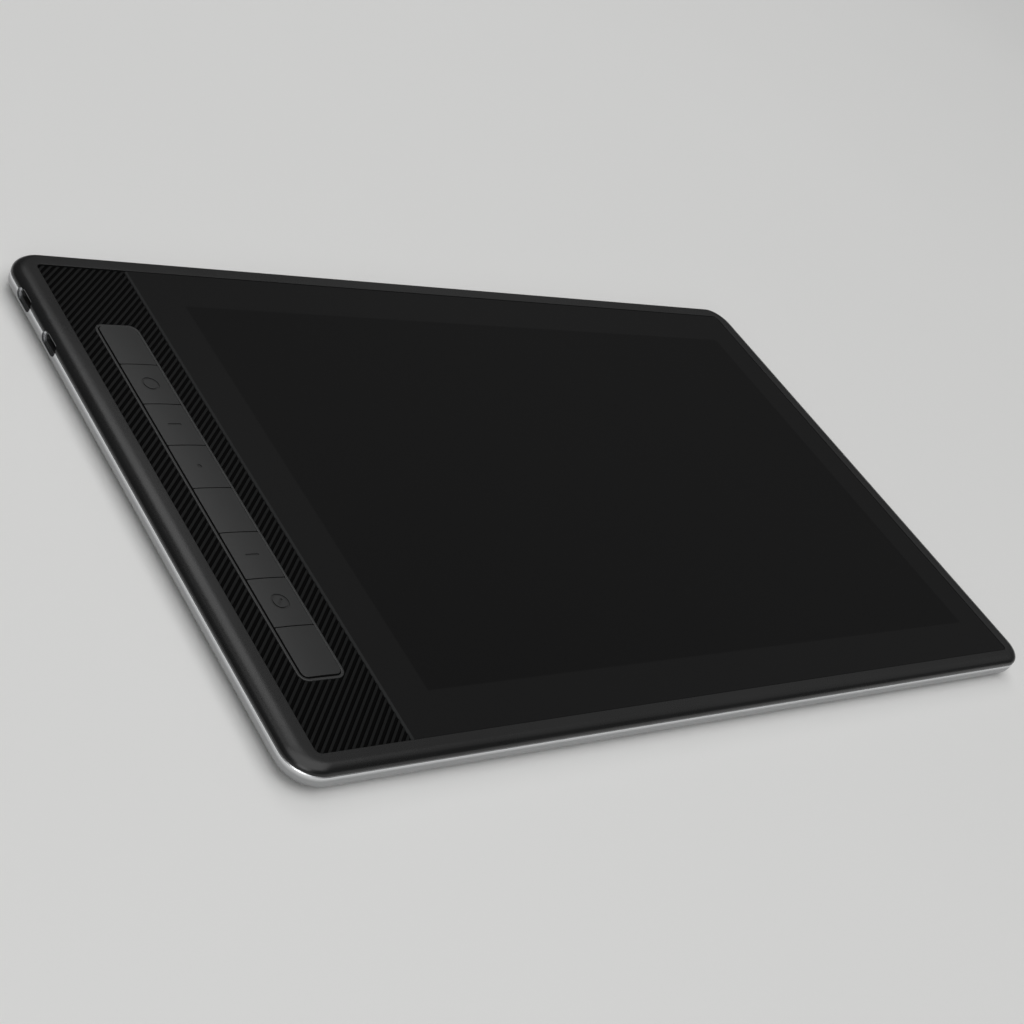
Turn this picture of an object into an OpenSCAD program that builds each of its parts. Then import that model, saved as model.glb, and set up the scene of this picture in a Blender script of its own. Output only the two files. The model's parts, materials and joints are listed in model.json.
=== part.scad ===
// Pen display: a flat drawing screen with a ribbed key strip on its left.
// X runs along the long sides with the keys at -X, Y towards the far long side, Z up.
// The origin is under the middle of the body, on the plane that the feet stand on.

/* [Body] */
// Height of the body without its feet
body_h = 10; // [9.6:0.1:14]
// Radius of the four corners in plan
corner_r = 11; // [9:0.5:16]
// Width of the rounded shoulder along the short sides
side_shoulder = 5.9; // [3:0.1:6.5]
// Width of the rounded shoulder along the long sides
end_shoulder = 1.8; // [1.2:0.1:3]
// Height of the shoulder, from the top down to the parting seam
seam_drop = 3; // [2.7:0.1:3.4]
// Bevel on both sides of the parting seam
seam_bevel = 0.3; // [0.1:0.05:0.5]
// Height of the underside's rounded edge
edge_h = 4.3; // [3:0.1:4.6]
// Reach of the underside's rounding in from the short sides
edge_side = 8.5; // [3:0.1:10]
// Reach of the underside's rounding in from the long sides
edge_end = 3; // [2.2:0.1:4.2]
// Thickness of the side walls
wall = 1.8; // [1.5:0.1:2.2]
// Thickness of the back cover's floor
floor_t = 1.2; // [1:0.1:1.8]
// Depth of the frame's locating lip below the seam
lip_h = 1; // [0.5:0.1:1.1]
// Thickness of the locating lip
lip_t = 1; // [0.6:0.1:1.2]
// Clearance between the lip and the back cover
lip_gap = 0.15; // [0.05:0.05:0.3]

/* [Front] */
// Width of the frame along the two short sides
side_ring = 9; // [8:0.1:14]
// Width of the frame along the near long side
near_ring = 6.1; // [5.5:0.1:12]
// Width of the frame along the far long side
far_ring = 6.4; // [6:0.1:12]
// Radius of the opening's corners
opening_r = 2; // [1:0.25:4]
// Width of the ribbed key strip
strip_w = 33.9; // [32:0.1:36]
// Gap round the glass and the key panel
seat_gap = 0.1; // [0.05:0.05:0.2]
// Thickness of the frame's ledge under the glass
ledge_t = 1; // [0.7:0.1:1.3]
// Width of the frame's ledge round the screen
ledge_w = 5; // [3:0.25:6]
// Reach of the cross bar under the glass
bar_glass = 5; // [3:0.25:5.2]

/* [Screen] */
// Width of the lit area
active_w = 286.5; // [250:0.5:350]
// Depth of the lit area
active_d = 179.1; // [160:0.1:220]
// Dark border between the key strip and the lit area
bezel_left = 16.15; // [14:0.05:24]
// Dark border right of the lit area
bezel_right = 15.45; // [12:0.05:24]
// Dark border on the near side of the lit area
bezel_near = 16.75; // [14:0.05:24]
// Dark border on the far side of the lit area
bezel_far = 18.15; // [14:0.05:24]
// How far the glass lies below the frame's top
glass_recess = 0.15; // [0:0.05:0.3]
// Thickness of the cover glass
glass_t = 1; // [0.7:0.1:1.2]
// Bevel of the glass where it meets the key strip
joint_bevel = 0.6; // [0.2:0.05:0.8]
// Bevel of the glass along the frame
glass_bevel = 0.2; // [0.1:0.05:0.4]
// Thickness of the tape under the glass edge
tape_t = 0.2; // [0.1:0.05:0.3]
// Thickness of the clear bond between glass and panel
bond_t = 0.25; // [0.1:0.05:0.4]
// Thickness of the display panel
lcd_t = 1.1; // [0.8:0.1:1.3]
// Thickness of the diffuser films
film_t = 0.5; // [0.3:0.1:0.7]
// Thickness of the light guide
guide_t = 1.4; // [1:0.1:1.6]
// Sheet thickness of the backlight tray
tray_t = 0.4; // [0.3:0.05:0.5]
// Thickness of the digitiser board
sensor_t = 0.6; // [0.4:0.1:0.8]
// Sheet thickness of the mid plate
plate_t = 0.8; // [0.6:0.1:1]

/* [Keys] */
// Width of a key
key_w = 14; // [12:0.1:14.4]
// Length of a key
key_len = 19.2; // [16:0.1:19.6]
// Gap round each key
key_gap = 0.3; // [0.25:0.05:0.5]
// Bevel of a key's top edges
key_bevel = 0.3; // [0.1:0.05:0.5]
// How far a key goes down
key_travel = 0.6; // [0.3:0.05:0.6]
// Wall of the surround ring
surround_w = 1; // [0.7:0.05:1.2]
// Outer corner radius of the surround ring
surround_r = 3.4; // [2:0.1:5]
// Middle of the key row, from the opening's far edge
keys_inset = 109.3; // [100:0.1:115]
// How far the key tops lie below the frame's top
key_drop = 0; // [0:0.05:0.3]
// How far the surround's top lies below the frame's top
surround_drop = 0.15; // [0:0.05:0.4]
// Reach of a key's flange under the surround
flange_reach = 0.7; // [0.5:0.05:0.9]
// Thickness of a key's flange
flange_t = 0.6; // [0.4:0.05:0.7]
// Depth of the marks sunk into the keys
mark_depth = 0.2; // [0.1:0.05:0.4]
// Outer diameter of a ring mark
mark_ring_d = 6.2; // [4:0.1:8]
// Line width of the marks
mark_line = 0.8; // [0.3:0.05:1]
// Length of a dash mark
mark_dash = 5; // [3:0.1:8]

/* [Ribs] */
// Distance between ribs, square to them
rib_pitch = 1.95; // [1.4:0.05:3]
// Height of a rib
rib_h = 0.45; // [0.2:0.05:0.6]
// Width of a rib's crest
rib_crest = 0.8; // [0.2:0.05:0.9]
// Width of a rib's root
rib_root = 1.3; // [0.8:0.05:1.5]
// Direction of the ribs, from the long side
rib_angle = 45; // [30:1:60]
// How far the rib crests lie below the frame's top
strip_drop = 0.5; // [0.3:0.05:0.7]
// Thickness of the key panel with its ribs
panel_t = 1.3; // [1:0.05:1.5]

/* [Ports] */
// Width of a socket's shell
port_w = 8.94; // [8.5:0.02:9.4]
// Height of a socket's shell
port_h = 3.16; // [3:0.02:3.4]
// Length of a socket's shell
port_len = 7.4; // [6.5:0.1:8]
// Sheet thickness of a socket's shell
port_sheet = 0.3; // [0.2:0.02:0.35]
// Distance between the two sockets
port_pitch = 22.4; // [18:0.1:26]
// Middle of the far socket, from the opening's far edge
port_inset = 15.2; // [14:0.1:18]
// How far the sockets' middle lies below the top
port_drop = 3.7; // [3.65:0.05:4]
// Length of the pocket round a socket
pocket_w = 10.8; // [10.4:0.1:12]
// Height of the pocket round a socket
pocket_h = 4.2; // [4:0.1:4.5]
// Depth of the pocket
pocket_depth = 1; // [0.6:0.05:1.2]
// Gap between a socket and its hole in the wall
port_gap = 0.3; // [0.2:0.05:0.4]

/* [Power button] */
// Length of the button
button_w = 10; // [8:0.1:14]
// Height of the button
button_h = 2.4; // [1.8:0.1:2.8]
// Gap round the button
button_gap = 0.3; // [0.2:0.05:0.4]
// How far the button goes in
button_travel = 0.4; // [0.2:0.05:0.5]
// How far the button's face lies inside the wall
button_sink = 0.1; // [0:0.05:0.3]
// Middle of the button, from the opening's left edge
button_x = 22; // [20:0.5:24]
// How far the button's middle lies below the top
button_drop = 4.2; // [4.1:0.05:4.3]

/* [Boards] */
// Thickness of the main board
board_t = 1; // [0.8:0.1:1.2]
// How far the main board reaches past the key strip
board_over = 1.7; // [1:0.1:4]
// Length of the main board
board_len = 88; // [84:1:94]
// Height of the chips
chip_h = 0.8; // [0.5:0.05:0.85]
// Thickness of the key board
key_board_t = 0.8; // [0.6:0.1:0.9]
// Depth from the key panel's underside to the key board
key_well = 1.7; // [1.6:0.05:1.8]
// Thickness of the ribbons
flex_t = 0.25; // [0.15:0.05:0.3]
// Width of the ribbons
flex_w = 26; // [20:1:28]

/* [Feet and screws] */
// How far the feet stand out of the back cover
foot_h = 0.8; // [0.5:0.1:1.5]
// Distance from a foot strip's end to the short side
foot_inset_x = 60; // [30:1:80]
// Width of a foot strip
foot_w = 9; // [7:0.5:12]
// Depth of a foot's groove in the back cover
foot_sink = 0.4; // [0.2:0.05:0.5]
// Distance from a foot's middle line to the long side
foot_inset_y = 25.75; // [22:0.25:40]
// Diameter of a screw's shank
screw_d = 2; // [1.6:0.1:2.2]
// Diameter of a screw's head
screw_head_d = 3.6; // [3:0.1:3.8]
// Clearance of a screw in its hole
screw_gap = 0.1; // [0.05:0.05:0.2]

/* [Hidden] */
$fn = 48;
key_count = 8;
eps = 0.01;

// Plan of the front: the screen sets the opening, and the opening the body
opening_w = strip_w + bezel_left + active_w + bezel_right;
opening_d = bezel_near + active_d + bezel_far;
opening_y = (near_ring - far_ring) / 2;
body_w = opening_w + 2 * side_ring;
body_d = near_ring + opening_d + far_ring;
left_x = -opening_w / 2;
right_x = opening_w / 2;
near_y = opening_y - opening_d / 2;
far_y = opening_y + opening_d / 2;
joint_x = left_x + strip_w;
window_x = joint_x + bar_glass;
screen_x = joint_x + bezel_left + active_w / 2;
screen_y = near_y + bezel_near + active_d / 2;

// Heights of the body
top_z = foot_h + body_h;
seam_z = top_z - seam_drop;
floor_z = foot_h + floor_t;
shoulder_h = seam_drop - seam_bevel;

// Heights of the screen stack, from the glass down
glass_z = top_z - glass_recess - glass_t;
ledge_z = glass_z - tape_t;
shelf_z = ledge_z - ledge_t;
lcd_top = glass_z - bond_t;
lcd_z = lcd_top - lcd_t;
film_z = lcd_z - film_t;
guide_z = film_z - guide_t;
tray_z = guide_z - tray_t;
sensor_z = tray_z - sensor_t;
plate_z = sensor_z - plate_t;

// Heights of the key strip
crest_z = top_z - strip_drop;
panel_z = crest_z - panel_t;
flange_gap = 0.05;
flange_top = panel_z - flange_gap;
flange_z = flange_top - flange_t;
key_top = top_z - key_drop;
key_board_top = panel_z - key_well;
key_board_z = key_board_top - key_board_t;

// Heights of the main board and the sockets
port_z = top_z - port_drop;
board_top = port_z - port_h / 2;
board_z = board_top - board_t;
plug_h = 0.5;
button_z = top_z - button_drop;
switch_h = 2 * (button_z - board_top);

// Plan of the key row
row_x = left_x + strip_w / 2;
row_y = far_y - keys_inset;
key_pitch = key_len + key_gap;
row_len = key_count * key_pitch + key_gap;
surround_in_w = key_w + 2 * key_gap;
surround_out_w = surround_in_w + 2 * surround_w;
surround_out_len = row_len + 2 * surround_w;
inner_r = surround_r - surround_w;
key_r = inner_r - key_gap;

// Posts under the key panel, and the ledge that leaves room for them
post_d = 3.6;
post_room = 1;
post_gap = 0.3;
post_inset = 5;
post_out = surround_out_w / 2 + post_room + post_d / 2;
post_end = surround_out_len / 2 - post_inset;
post_xs = [row_x - post_out, row_x + post_out];
post_ys = [row_y - post_end, row_y, row_y + post_end];
strip_ledge_w = strip_w / 2 - post_out - post_d / 2 - post_gap;

// Plan of the screen stack
lcd_margin = 3;
lcd_w = active_w + 2 * lcd_margin;
lcd_d = active_d + 4 * lcd_margin;
guide_w = active_w + lcd_margin;
guide_d = active_d + lcd_margin;
led_t = 0.9;
tray_gap = 0.2;
tray_w = guide_w + 2 * (tray_gap + tray_t);
tray_d = guide_d + 2 * (tray_gap + tray_t) + led_t + tray_gap;
led_y = screen_y - guide_d / 2 - tray_gap - led_t / 2;
tray_y = screen_y - (led_t + tray_gap) / 2;
sensor_over = 1.5;
sensor_w = lcd_w + 2 * sensor_over;
sensor_d = lcd_d + 2 * sensor_over;
sensor_left = screen_x - sensor_w / 2;
plate_left = window_x + 1;
plate_right = right_x - ledge_w;

// Sockets, each with its contact tongue
port_face = -body_w / 2 + pocket_depth;
port_ys = [far_y - port_inset, far_y - port_inset - port_pitch];
tongue_w = 6.7;
tongue_t = 0.7;
tongue_set = 1.45;

// Power button with its flange and stem, and the switch behind it
power_x = left_x + button_x;
button_seat = wall + 0.1;
button_flange_w = button_w + 2;
button_flange_h = button_h + 1.4;
button_flange_t = 0.7;
button_room = 1;
stem_len = 1.2;
stem_d = 2;
switch_gap = button_travel + 0.05;
switch_w = 7;
switch_d = 4.5;
switch_nose = 0.8;
switch_nose_d = 1.6;
switch_y = body_d / 2 - button_seat - button_flange_t - stem_len - switch_gap;

// Plan of the boards; the main board ends under the switch
board_gap = 0.8;
board_x = -body_w / 2 + wall + lip_t + board_gap;
board_right = joint_x + board_over;
board_w = board_right - board_x;
board_far = switch_y - switch_nose;
board_y = board_far - board_len;
key_board_edge = 0.1;
key_board_w = 2 * (post_out + post_d / 2 + key_board_edge);
key_board_len = surround_out_len + 6;

// Packages on the main board, in steps of the placing grid: middle from the board's corner, width, depth
chip_grid = 0.5;
chips = chip_grid * [[49, 32, 24, 24], [51, 66, 18, 14], [28, 48, 10, 10], [29, 72, 8, 12]];

// Sockets of the two ribbons, and the connector up to the key board
plug_w = 4;
plug_edge = 0.5;
plug_over = 1;
plug_x = board_right - plug_edge - plug_w / 2;
plug_len = flex_w + 2 * plug_over;
plug_z = board_top + plug_h;
flex_near_inset = 22;
flex_far_inset = 30;
flex_near_y = board_y + flex_near_inset;
flex_far_y = board_far - flex_far_inset;
flex_hold = 1.6;
flex_bend = 0.6;
flex_slope = 2.4;
connector_w = 5;
connector_len = 12;
connector_inset = 48;
connector_y = board_y + connector_inset;

// Silicone domes
dome_base = 0.3;
dome_top = flange_z - flange_gap;
dome_d = 8;
dome_top_d = 5;

// Places of the screws
hole_d = screw_d + screw_gap;
head_h = 0.8;
head_room = 0.1;
tip_room = 0.3;
bite = 2;
boss_d = 4.2;
standoff_d = 5;
cover_boss_d = 7.2;
cover_boss_h = 0.6;
ear_inset = 13.25;
ear_outer = active_w / 2 - ear_inset;
ear_inner = ear_outer / 3;
ear_out = 1.4;
ear_reach = ledge_w + 2;
ear_xs = [for (x = [-ear_outer, -ear_inner, ear_inner, ear_outer]) screen_x + x];
ear_ys = [near_y - ear_out, far_y + ear_out];
foot_len = body_w - 2 * foot_inset_x;
foot_y = body_d / 2 - foot_inset_y;
cover_inset = 15;
cover_xs = [-foot_len / 2 + cover_inset, 0, foot_len / 2 - cover_inset];
cover_ys = [-foot_y, foot_y];
hole_left = board_x + 9.5;
hole_right = board_right - 3.5;
hole_end = 4;
hole_mid = 29;
board_holes = [[hole_left, board_y + hole_end], [hole_right, board_y + hole_end],
               [hole_left, board_far - hole_mid], [hole_right, board_far - hole_end]];
post_screw_d = 1.4;
post_hole_d = post_screw_d + screw_gap;
post_head_d = 2.6;
post_head_h = 0.5;

// One level of the body's outline, drawn in by ix on the short sides and iy on the long ones;
// its corners follow unless they get a radius of their own
corner_steps = 8;
function body_level(ix, iy, z, own_r = 0) =
    let (r = own_r > 0 ? own_r : corner_r - (ix + iy) / 2)
    let (cx = body_w / 2 - ix - r)
    let (cy = body_d / 2 - iy - r)
    [for (q = [[1, 1, 0], [-1, 1, 90], [-1, -1, 180], [1, -1, 270]])
        for (k = [0 : corner_steps])
            let (a = q[2] + 90 * k / corner_steps)
            [q[0] * cx + r * cos(a), q[1] * cy + r * sin(a), z]];

// A closed skin through a list of levels, from the lowest up
module loft(levels) {
    n = len(levels[0]);
    m = len(levels);
    sides = [for (k = [0 : m - 2]) for (j = [0 : n - 1])
        let (i = (j + 1) % n)
        each [[k * n + j, (k + 1) * n + j, (k + 1) * n + i], [k * n + j, (k + 1) * n + i, k * n + i]]];
    low = [for (j = [0 : n - 1]) j];
    high = [for (j = [n - 1 : -1 : 0]) (m - 1) * n + j];
    polyhedron(points = [for (level = levels) each level], faces = concat([low, high], sides));
}

shoulder_steps = 7;
function shoulder_level(t) =
    body_level(side_shoulder * (1 - sin(t)), end_shoulder * (1 - sin(t)), top_z - shoulder_h * (1 - cos(t)));

edge_steps = 5;
// Levels of a dish with a rounded underside edge, drawn in by inset from the body's outline;
// the rounding is an ellipse, less by one amount all round inside the cover
function dish_levels(inset, low_z, less) =
    [for (k = [0 : edge_steps])
        let (a = 90 * k / edge_steps)
        let (in = 1 - sin(a))
        body_level(inset + (edge_side - less) * in, inset + (edge_end - less) * in,
                   low_z + (edge_h - less) * (1 - cos(a)), corner_r - inset)];

module rounded_square(w, d, r) {
    square([w - 2 * r, d], center = true);
    square([w, d - 2 * r], center = true);
    for (x = [-1, 1]) for (y = [-1, 1])
        translate([x * (w / 2 - r), y * (d / 2 - r)]) circle(r);
}

module pill(w, h) {
    square([w - h, h], center = true);
    for (x = [-1, 1]) translate([x * (w - h) / 2, 0]) circle(d = h);
}

module plate(x, y, z, w, d, t) translate([x - w / 2, y - d / 2, z]) cube([w, d, t]);

// A block with its top edges bevelled, the left one by an amount of its own
module bevelled(x, y, w, d, low, high, left, rest) {
    intersection() {
        translate([x, y + d / 2, 0]) rotate([90, 0, 0]) linear_extrude(d)
            polygon([[-w / 2, low], [w / 2, low], [w / 2, high - rest], [w / 2 - rest, high],
                     [-w / 2 + left, high], [-w / 2, high - left]]);
        translate([x - w / 2, y, 0]) rotate([90, 0, 90]) linear_extrude(w)
            polygon([[-d / 2, low], [d / 2, low], [d / 2, high - rest], [d / 2 - rest, high],
                     [-d / 2 + rest, high], [-d / 2, high - rest]]);
    }
}

// Places a flat outline on the left side, extruded towards +X
module on_left(y, z) translate([-body_w / 2, y, z]) rotate([90, 0, 90]) children();

// Places a flat outline on the far side, extruded towards -Y
module on_far(x, z) translate([x, body_d / 2, z]) rotate([90, 0, 0]) children();

module opening_outline(gap) {
    translate([0, opening_y]) rounded_square(opening_w - 2 * gap, opening_d - 2 * gap, opening_r - gap);
}

module strip_half(gap) {
    intersection() {
        opening_outline(gap);
        translate([left_x, near_y]) square([strip_w - gap / 2, opening_d]);
    }
}

module glass_half(gap) {
    intersection() {
        opening_outline(gap);
        translate([joint_x + gap / 2, near_y]) square([opening_w - strip_w, opening_d]);
    }
}

module screen_window() {
    translate([window_x, near_y + ledge_w])
        square([right_x - ledge_w - window_x, opening_d - 2 * ledge_w]);
}

// Pockets and holes for the sockets and the power button
module side_cuts() {
    for (y = port_ys) {
        on_left(y, port_z) translate([0, 0, -1]) linear_extrude(1 + pocket_depth) pill(pocket_w, pocket_h);
        on_left(y, port_z) linear_extrude(pocket_depth + port_len + port_gap)
            pill(port_w + 2 * port_gap, port_h + 2 * port_gap);
    }
    on_far(power_x, button_z) translate([0, 0, -1])
        linear_extrude(wall + 2) pill(button_w + 2 * button_gap, button_h + 2 * button_gap);
    on_far(power_x, button_z) translate([0, 0, wall]) linear_extrude(lip_t + 1)
        square([button_flange_w + 2 * button_room, button_flange_h + 2 * button_room], center = true);
}

module front_frame() color("#232527") {
    difference() {
        loft(concat([body_level(seam_bevel, seam_bevel, seam_z)],
                    [for (k = [0 : shoulder_steps]) shoulder_level(90 * (1 - k / shoulder_steps))]));
        translate([0, 0, seam_z - 1]) linear_extrude(shelf_z - seam_z + 1)
            rounded_square(body_w - 2 * wall, body_d - 2 * wall, corner_r - wall);
        translate([0, 0, ledge_z]) linear_extrude(top_z) glass_half(0);
        translate([0, 0, panel_z]) linear_extrude(top_z) strip_half(0);
        translate([0, 0, shelf_z - 1]) linear_extrude(top_z) screen_window();
        translate([left_x + strip_ledge_w, near_y + strip_ledge_w, shelf_z - 1])
            cube([strip_w - 2 * strip_ledge_w, opening_d - 2 * strip_ledge_w, top_z]);
        side_cuts();
    }
    difference() {
        translate([0, 0, seam_z - lip_h]) linear_extrude(shelf_z - seam_z + lip_h) difference() {
            rounded_square(body_w - 2 * wall, body_d - 2 * wall, corner_r - wall);
            rounded_square(body_w - 2 * wall - 2 * lip_t, body_d - 2 * wall - 2 * lip_t,
                           corner_r - wall - lip_t);
        }
        side_cuts();
    }
    for (x = ear_xs) for (y = ear_ys) translate([x, y, sensor_z]) difference() {
        cylinder(d = boss_d, h = shelf_z - sensor_z);
        translate([0, 0, -1]) cylinder(d = hole_d, h = shelf_z - sensor_z);
    }
}

module foot_outline(gap) rounded_square(foot_len + 2 * gap, foot_w + 2 * gap, foot_w / 2 + gap - eps);

module back_cover() color("#b4b7ba") {
    difference() {
        union() {
            difference() {
                loft(concat(dish_levels(0, foot_h, 0),
                            [body_level(0, 0, seam_z - seam_bevel)],
                            [body_level(seam_bevel, seam_bevel, seam_z)]));
                loft(concat(dish_levels(wall - lip_gap, floor_z, floor_t),
                            [body_level(wall - lip_gap, wall - lip_gap, seam_z + 1)]));
            }
            for (x = cover_xs) for (y = cover_ys)
                translate([x, y, floor_z - eps]) cylinder(d = cover_boss_d, h = cover_boss_h + eps);
            for (p = board_holes)
                translate([p[0], p[1], floor_z - eps]) cylinder(d = standoff_d, h = board_z - floor_z + eps);
        }
        side_cuts();
        for (y = cover_ys) translate([0, y, 0]) linear_extrude(foot_h + foot_sink) foot_outline(0);
        for (x = cover_xs) for (y = cover_ys) translate([x, y, 0]) {
            cylinder(d = screw_head_d + 2 * head_room, h = foot_h + foot_sink + head_h);
            cylinder(d = hole_d, h = top_z);
        }
        for (p = board_holes) translate([p[0], p[1], floor_z]) cylinder(d = hole_d, h = top_z);
    }
}

module cover_glass() color("#1b1c1e") {
    w = right_x - joint_x - 3 * seat_gap / 2;
    intersection() {
        translate([0, 0, glass_z]) linear_extrude(glass_t) glass_half(seat_gap);
        bevelled(right_x - seat_gap - w / 2, opening_y, w, opening_d - 2 * seat_gap,
                 glass_z, glass_z + glass_t, joint_bevel, glass_bevel);
    }
}

module glass_tape() color("#101010")
    translate([0, 0, ledge_z]) linear_extrude(tape_t) difference() {
        glass_half(seat_gap);
        screen_window();
    }

module optical_bond() color("#dfe7ea")
    plate(screen_x, screen_y, lcd_top, lcd_w, lcd_d, bond_t);

module lcd_panel() color("#15181c")
    plate(screen_x, screen_y, lcd_z, lcd_w, lcd_d, lcd_t);

module diffuser_films() color("#f2f2ee")
    plate(screen_x, screen_y, film_z, guide_w, guide_d, film_t);

module light_guide() color("#e6eef2")
    plate(screen_x, screen_y, guide_z, guide_w, guide_d, guide_t);

module led_bar() color("#f4e8b0")
    plate(screen_x, led_y, guide_z, guide_w, led_t, guide_t);

module backlight_tray() color("#c9ccce")
    difference() {
        plate(screen_x, tray_y, tray_z, tray_w, tray_d, lcd_z - tray_z);
        plate(screen_x, tray_y, guide_z, tray_w - 2 * tray_t, tray_d - 2 * tray_t, lcd_z);
    }

module sensor_board() color("#1f5a3c")
    plate(screen_x, screen_y, sensor_z, sensor_w, sensor_d, sensor_t);

module mid_plate() color("#9a9ea2") {
    difference() {
        union() {
            translate([plate_left, near_y + ledge_w, plate_z])
                cube([plate_right - plate_left, opening_d - 2 * ledge_w, plate_t]);
            for (x = ear_xs) for (y = ear_ys) {
                translate([x, y, plate_z]) cylinder(d = boss_d, h = plate_t);
                plate(x, y + (y < 0 ? 1 : -1) * ear_reach / 2, plate_z, boss_d, ear_reach, plate_t);
            }
            for (x = cover_xs) for (y = cover_ys)
                translate([x, y, floor_z + cover_boss_h])
                    cylinder(d = standoff_d, h = plate_z - floor_z - cover_boss_h + eps);
        }
        for (x = ear_xs) for (y = ear_ys) translate([x, y, 0]) cylinder(d = hole_d, h = top_z);
        for (x = cover_xs) for (y = cover_ys) translate([x, y, 0]) cylinder(d = hole_d, h = top_z);
    }
}

module main_board() color("#17402c")
    difference() {
        translate([board_x, board_y, board_z]) cube([board_w, board_len, board_t]);
        for (p = board_holes) translate([p[0], p[1], 0]) cylinder(d = hole_d, h = top_z);
    }

// Processor, memory, power and driver packages, and the two ribbon sockets
module board_chips() color("#18191b") {
    for (c = chips) plate(board_x + c[0], board_y + c[1], board_top, c[2], c[3], chip_h);
    for (y = [flex_far_y, flex_near_y]) plate(plug_x, y, board_top, plug_w, plug_len, plug_h);
}

module key_connector() color("#d8d4c6")
    plate(row_x, connector_y, board_top, connector_w, connector_len, key_board_z - board_top);

// Metal shell with its back wall and contact tongue
module usb_port(y) color("#a9acaf") {
    on_left(y, port_z) translate([0, 0, pocket_depth]) difference() {
        linear_extrude(port_len) pill(port_w, port_h);
        translate([0, 0, -1]) linear_extrude(port_len) pill(port_w - 2 * port_sheet, port_h - 2 * port_sheet);
    }
    translate([port_face + tongue_set, y - tongue_w / 2, port_z - tongue_t / 2])
        cube([port_len - tongue_set - port_sheet / 2, tongue_w, tongue_t]);
}

// Profile of the ribs across their run, on a plain base
module rib_comb(reach) {
    count = ceil(reach / rib_pitch);
    side = (rib_root - rib_crest) / 2;
    base_t = panel_t - rib_h;
    polygon(concat([[-count * rib_pitch, 0]],
        [for (k = [-count : count - 1]) let (x = k * rib_pitch)
            each [[x, base_t], [x + side, panel_t], [x + side + rib_crest, panel_t], [x + rib_root, base_t]]],
        [[count * rib_pitch, base_t], [count * rib_pitch, 0]]));
}

module surround_outline(w, d, r) translate([row_x, row_y]) rounded_square(w, d, r);

module key_panel() color("#2b2d2f") {
    reach = opening_d / 2 + strip_w;
    intersection() {
        translate([0, 0, panel_z]) linear_extrude(panel_t) difference() {
            strip_half(seat_gap);
            surround_outline(surround_out_w, surround_out_len, surround_r);
        }
        translate([row_x, row_y, panel_z]) rotate([0, 0, rib_angle - 90])
            translate([0, reach, 0]) rotate([90, 0, 0]) linear_extrude(2 * reach) rib_comb(reach);
    }
    for (x = post_xs) for (y = post_ys) translate([x, y, key_board_top]) difference() {
        cylinder(d = post_d, h = key_well + (panel_t - rib_h) / 2);
        translate([0, 0, -1]) cylinder(d = post_hole_d, h = key_well + 1);
    }
}

module key_surround() color("#5a5d60")
    translate([0, 0, panel_z]) linear_extrude(top_z - surround_drop - panel_z) difference() {
        surround_outline(surround_out_w, surround_out_len, surround_r);
        surround_outline(surround_in_w, row_len, inner_r);
    }

// Middle of a key, counted from the far end of the row
function key_y(i) = row_y + row_len / 2 - key_gap - key_len / 2 - i * key_pitch;

// Outline of one key; the two end keys follow the surround's corners
module key_outline(i) {
    intersection() {
        translate([0, key_y(i) - row_y]) square([key_w, key_len], center = true);
        rounded_square(key_w, row_len - 2 * key_gap, key_r);
    }
}

module ring_mark() {
    difference() {
        circle(d = mark_ring_d);
        circle(d = mark_ring_d - 2 * mark_line);
    }
}

// Marks that a fingertip can tell apart: ring, dash, point, dash, and ring with a bar
module key_mark(i) {
    if (i == 1 || i == 6) ring_mark();
    if (i == 2 || i == 5) square([mark_dash, mark_line], center = true);
    if (i == 3) circle(d = mark_line * 2);
    if (i == 6) rotate(45) square([mark_ring_d / 2, mark_line], center = true);
}

module key(i) color("#5b5f63") {
    low = flange_top - eps;
    difference() {
        intersection() {
            translate([row_x, row_y, low]) linear_extrude(key_top - low) key_outline(i);
            bevelled(row_x, key_y(i), key_w, key_len, low, key_top, key_bevel, key_bevel);
        }
        translate([row_x, key_y(i), key_top - mark_depth]) linear_extrude(1) key_mark(i);
    }
    plate(row_x, key_y(i), flange_z, key_w + 2 * flange_reach, key_len - 2 * key_gap, flange_t);
}

// Silicone sheet with one dome under each key
module dome_strip() color("#cfd2d0") {
    plate(row_x, row_y, key_board_top, key_w, row_len, dome_base);
    for (i = [0 : key_count - 1]) translate([row_x, key_y(i), key_board_top + dome_base - eps])
        cylinder(d1 = dome_d, d2 = dome_top_d, h = dome_top - key_board_top - dome_base + eps);
}

module key_board() color("#17402c")
    difference() {
        plate(row_x, row_y, key_board_z, key_board_w, key_board_len, key_board_t);
        for (x = post_xs) for (y = post_ys) translate([x, y, 0]) cylinder(d = post_hole_d, h = top_z);
    }

module power_button() color("#2a2c2e") on_far(power_x, button_z) {
    translate([0, 0, button_sink]) linear_extrude(button_seat - button_sink) pill(button_w, button_h);
    translate([0, 0, button_seat]) linear_extrude(button_flange_t)
        square([button_flange_w, button_flange_h], center = true);
    translate([0, 0, button_seat + button_flange_t - eps]) cylinder(d = stem_d, h = stem_len + eps);
}

module power_switch() color("#1d1e20") {
    plate(power_x, switch_y - switch_nose - switch_d / 2, board_top, switch_w, switch_d, switch_h);
    translate([power_x, switch_y, button_z]) rotate([90, 0, 0])
        cylinder(d = switch_nose_d, h = switch_nose + eps);
}

// Ribbon from the panel's lower face, down past the digitiser and along to its socket
module lcd_flex() color("#b8742c") {
    tail = screen_x - tray_w / 2 - tray_gap;
    drop = sensor_left - flex_bend;
    translate([0, flex_far_y + flex_w / 2, 0]) rotate([90, 0, 0]) linear_extrude(flex_w)
        polygon([[tail, lcd_z], [tail, lcd_z - flex_t], [drop, lcd_z - flex_t], [drop, plug_z],
                 [plug_x, plug_z], [plug_x, plug_z + flex_t], [drop - flex_t, plug_z + flex_t],
                 [drop - flex_t, lcd_z]]);
}

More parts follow.
